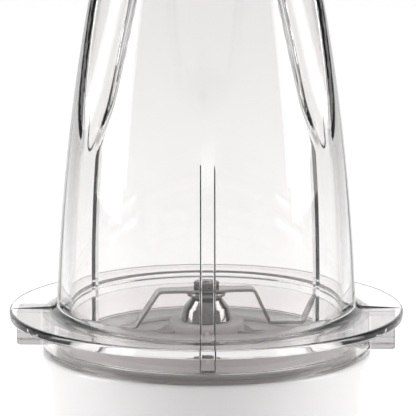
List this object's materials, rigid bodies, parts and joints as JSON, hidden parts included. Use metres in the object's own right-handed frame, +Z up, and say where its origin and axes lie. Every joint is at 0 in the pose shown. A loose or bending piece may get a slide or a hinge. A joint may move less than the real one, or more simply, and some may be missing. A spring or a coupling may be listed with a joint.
{
  "type": "countertop blender",
  "caption": "Compact blender: clear fluted cup with a wide flange, upside down on a blade unit with a lugged lock ring, over a round flared motor base with a speed knob.",
  "frame": {"origin": "on the table under the centre of the base", "axes": "+Z up along the motor shaft, -Y towards the speed knob, +X to the right seen from the front"},
  "size_m": [0.134, 0.134, 0.2805],
  "materials": {
    "clear_cup": "clear moulded plastic, polished",
    "clear_ring": "clear moulded plastic, polished",
    "white_housing": "glossy",
    "grey_plastic": "satin",
    "dark_plastic": "satin",
    "pointer_white": "glossy",
    "plunger_plastic": "satin",
    "lens": "clear green",
    "rubber": "matte",
    "seal_rubber": "matte",
    "white_silicone": "smooth",
    "polished_steel": "polished",
    "plain_steel": "turned",
    "lamination": "punched sheet",
    "copper": "enamelled copper",
    "cast_aluminium": "die cast",
    "bronze": "sintered",
    "carbon": "pressed carbon",
    "board": "glass epoxy"
  },
  "bodies": {
    "base": {"housing_shell": "white_housing", "top_deck": "grey_plastic", "bottom_cover": "dark_plastic", "bottom_screws": "plain_steel", "rubber_foot_1": "rubber", "rubber_foot_2": "rubber", "rubber_foot_3": "rubber", "rubber_foot_4": "rubber", "field_stack": "lamination", "field_coil_front": "copper", "field_coil_rear": "copper", "upper_bearing_bracket": "cast_aluminium", "lower_bearing_bracket": "cast_aluminium", "upper_motor_bearing": "plain_steel", "lower_motor_bearing": "plain_steel", "motor_tie_screws": "plain_steel", "carbon_brush_front": "carbon", "carbon_brush_rear": "carbon", "brush_spring_front": "plain_steel", "brush_spring_rear": "plain_steel", "brush_holder_front": "grey_plastic", "brush_holder_rear": "grey_plastic", "rubber_mount_1": "rubber", "rubber_mount_2": "rubber", "rubber_mount_3": "rubber", "rubber_mount_4": "rubber", "knob_bezel": "dark_plastic", "rotary_switch": "grey_plastic", "indicator_lens": "lens", "control_board": "board", "cord_gland": "dark_plastic", "interlock_microswitch": "dark_plastic", "plunger_spring": "plain_steel"},
    "rotor": {"motor_shaft": "plain_steel", "armature_core": "lamination", "armature_winding": "copper", "commutator": "copper", "cooling_fan": "dark_plastic", "drive_coupling": "dark_plastic"},
    "blade_unit": {"blade_carrier": "grey_plastic", "hub_cap": "polished_steel", "cup_gasket": "white_silicone", "shaft_seal": "seal_rubber", "upper_bush": "bronze", "lower_bush": "bronze"},
    "cutter": {"blade_shaft": "plain_steel", "seat_washer": "polished_steel", "cutter_blade": "polished_steel", "blade_nut": "polished_steel", "circlip": "plain_steel", "driven_coupling": "dark_plastic"},
    "ring": {"lock_ring": "clear_ring"},
    "cup_body": {"cup": "clear_cup"},
    "knob": {"speed_knob": "dark_plastic", "knob_pointer": "pointer_white", "knob_stem": "plain_steel"},
    "plunger": {"interlock_plunger": "plunger_plastic"}
  },
  "joints": [
    {"name": "motor_spin", "type": "hinge", "parent": "base", "child": "rotor", "pos_m": [0, 0, 0.1], "axis": [0, 0, 1], "continuous": true},
    {"name": "blade_unit_lift", "type": "slide", "parent": "base", "child": "blade_unit", "axis": [0, 0, 1], "range_m": [0, 0.06]},
    {"name": "blade_spin", "type": "hinge", "parent": "blade_unit", "child": "cutter", "pos_m": [0, 0, 0.14], "axis": [0, 0, 1], "continuous": true},
    {"name": "lock_ring_twist", "type": "hinge", "parent": "blade_unit", "child": "ring", "pos_m": [0, 0, 0.138], "axis": [0, 0, 1], "range_deg": [0, 30]},
    {"name": "cup_lift", "type": "slide", "parent": "blade_unit", "child": "cup_body", "axis": [0, 0, 1], "range_m": [0, 0.06]},
    {"name": "speed_knob_turn", "type": "hinge", "parent": "base", "child": "knob", "pos_m": [0, -0.05, 0.058], "axis": [0, -1, 0], "range_deg": [-90, 45]},
    {"name": "interlock_press", "type": "slide", "parent": "base", "child": "plunger", "axis": [0, 0, 1], "range_m": [-0.002, 0], "stiffness_N_per_m": 300, "deforming": ["plunger_spring"]}
  ],
  "couplings": [
    {"joint": "blade_spin", "follows": "motor_spin", "ratio": 1}
  ]
}
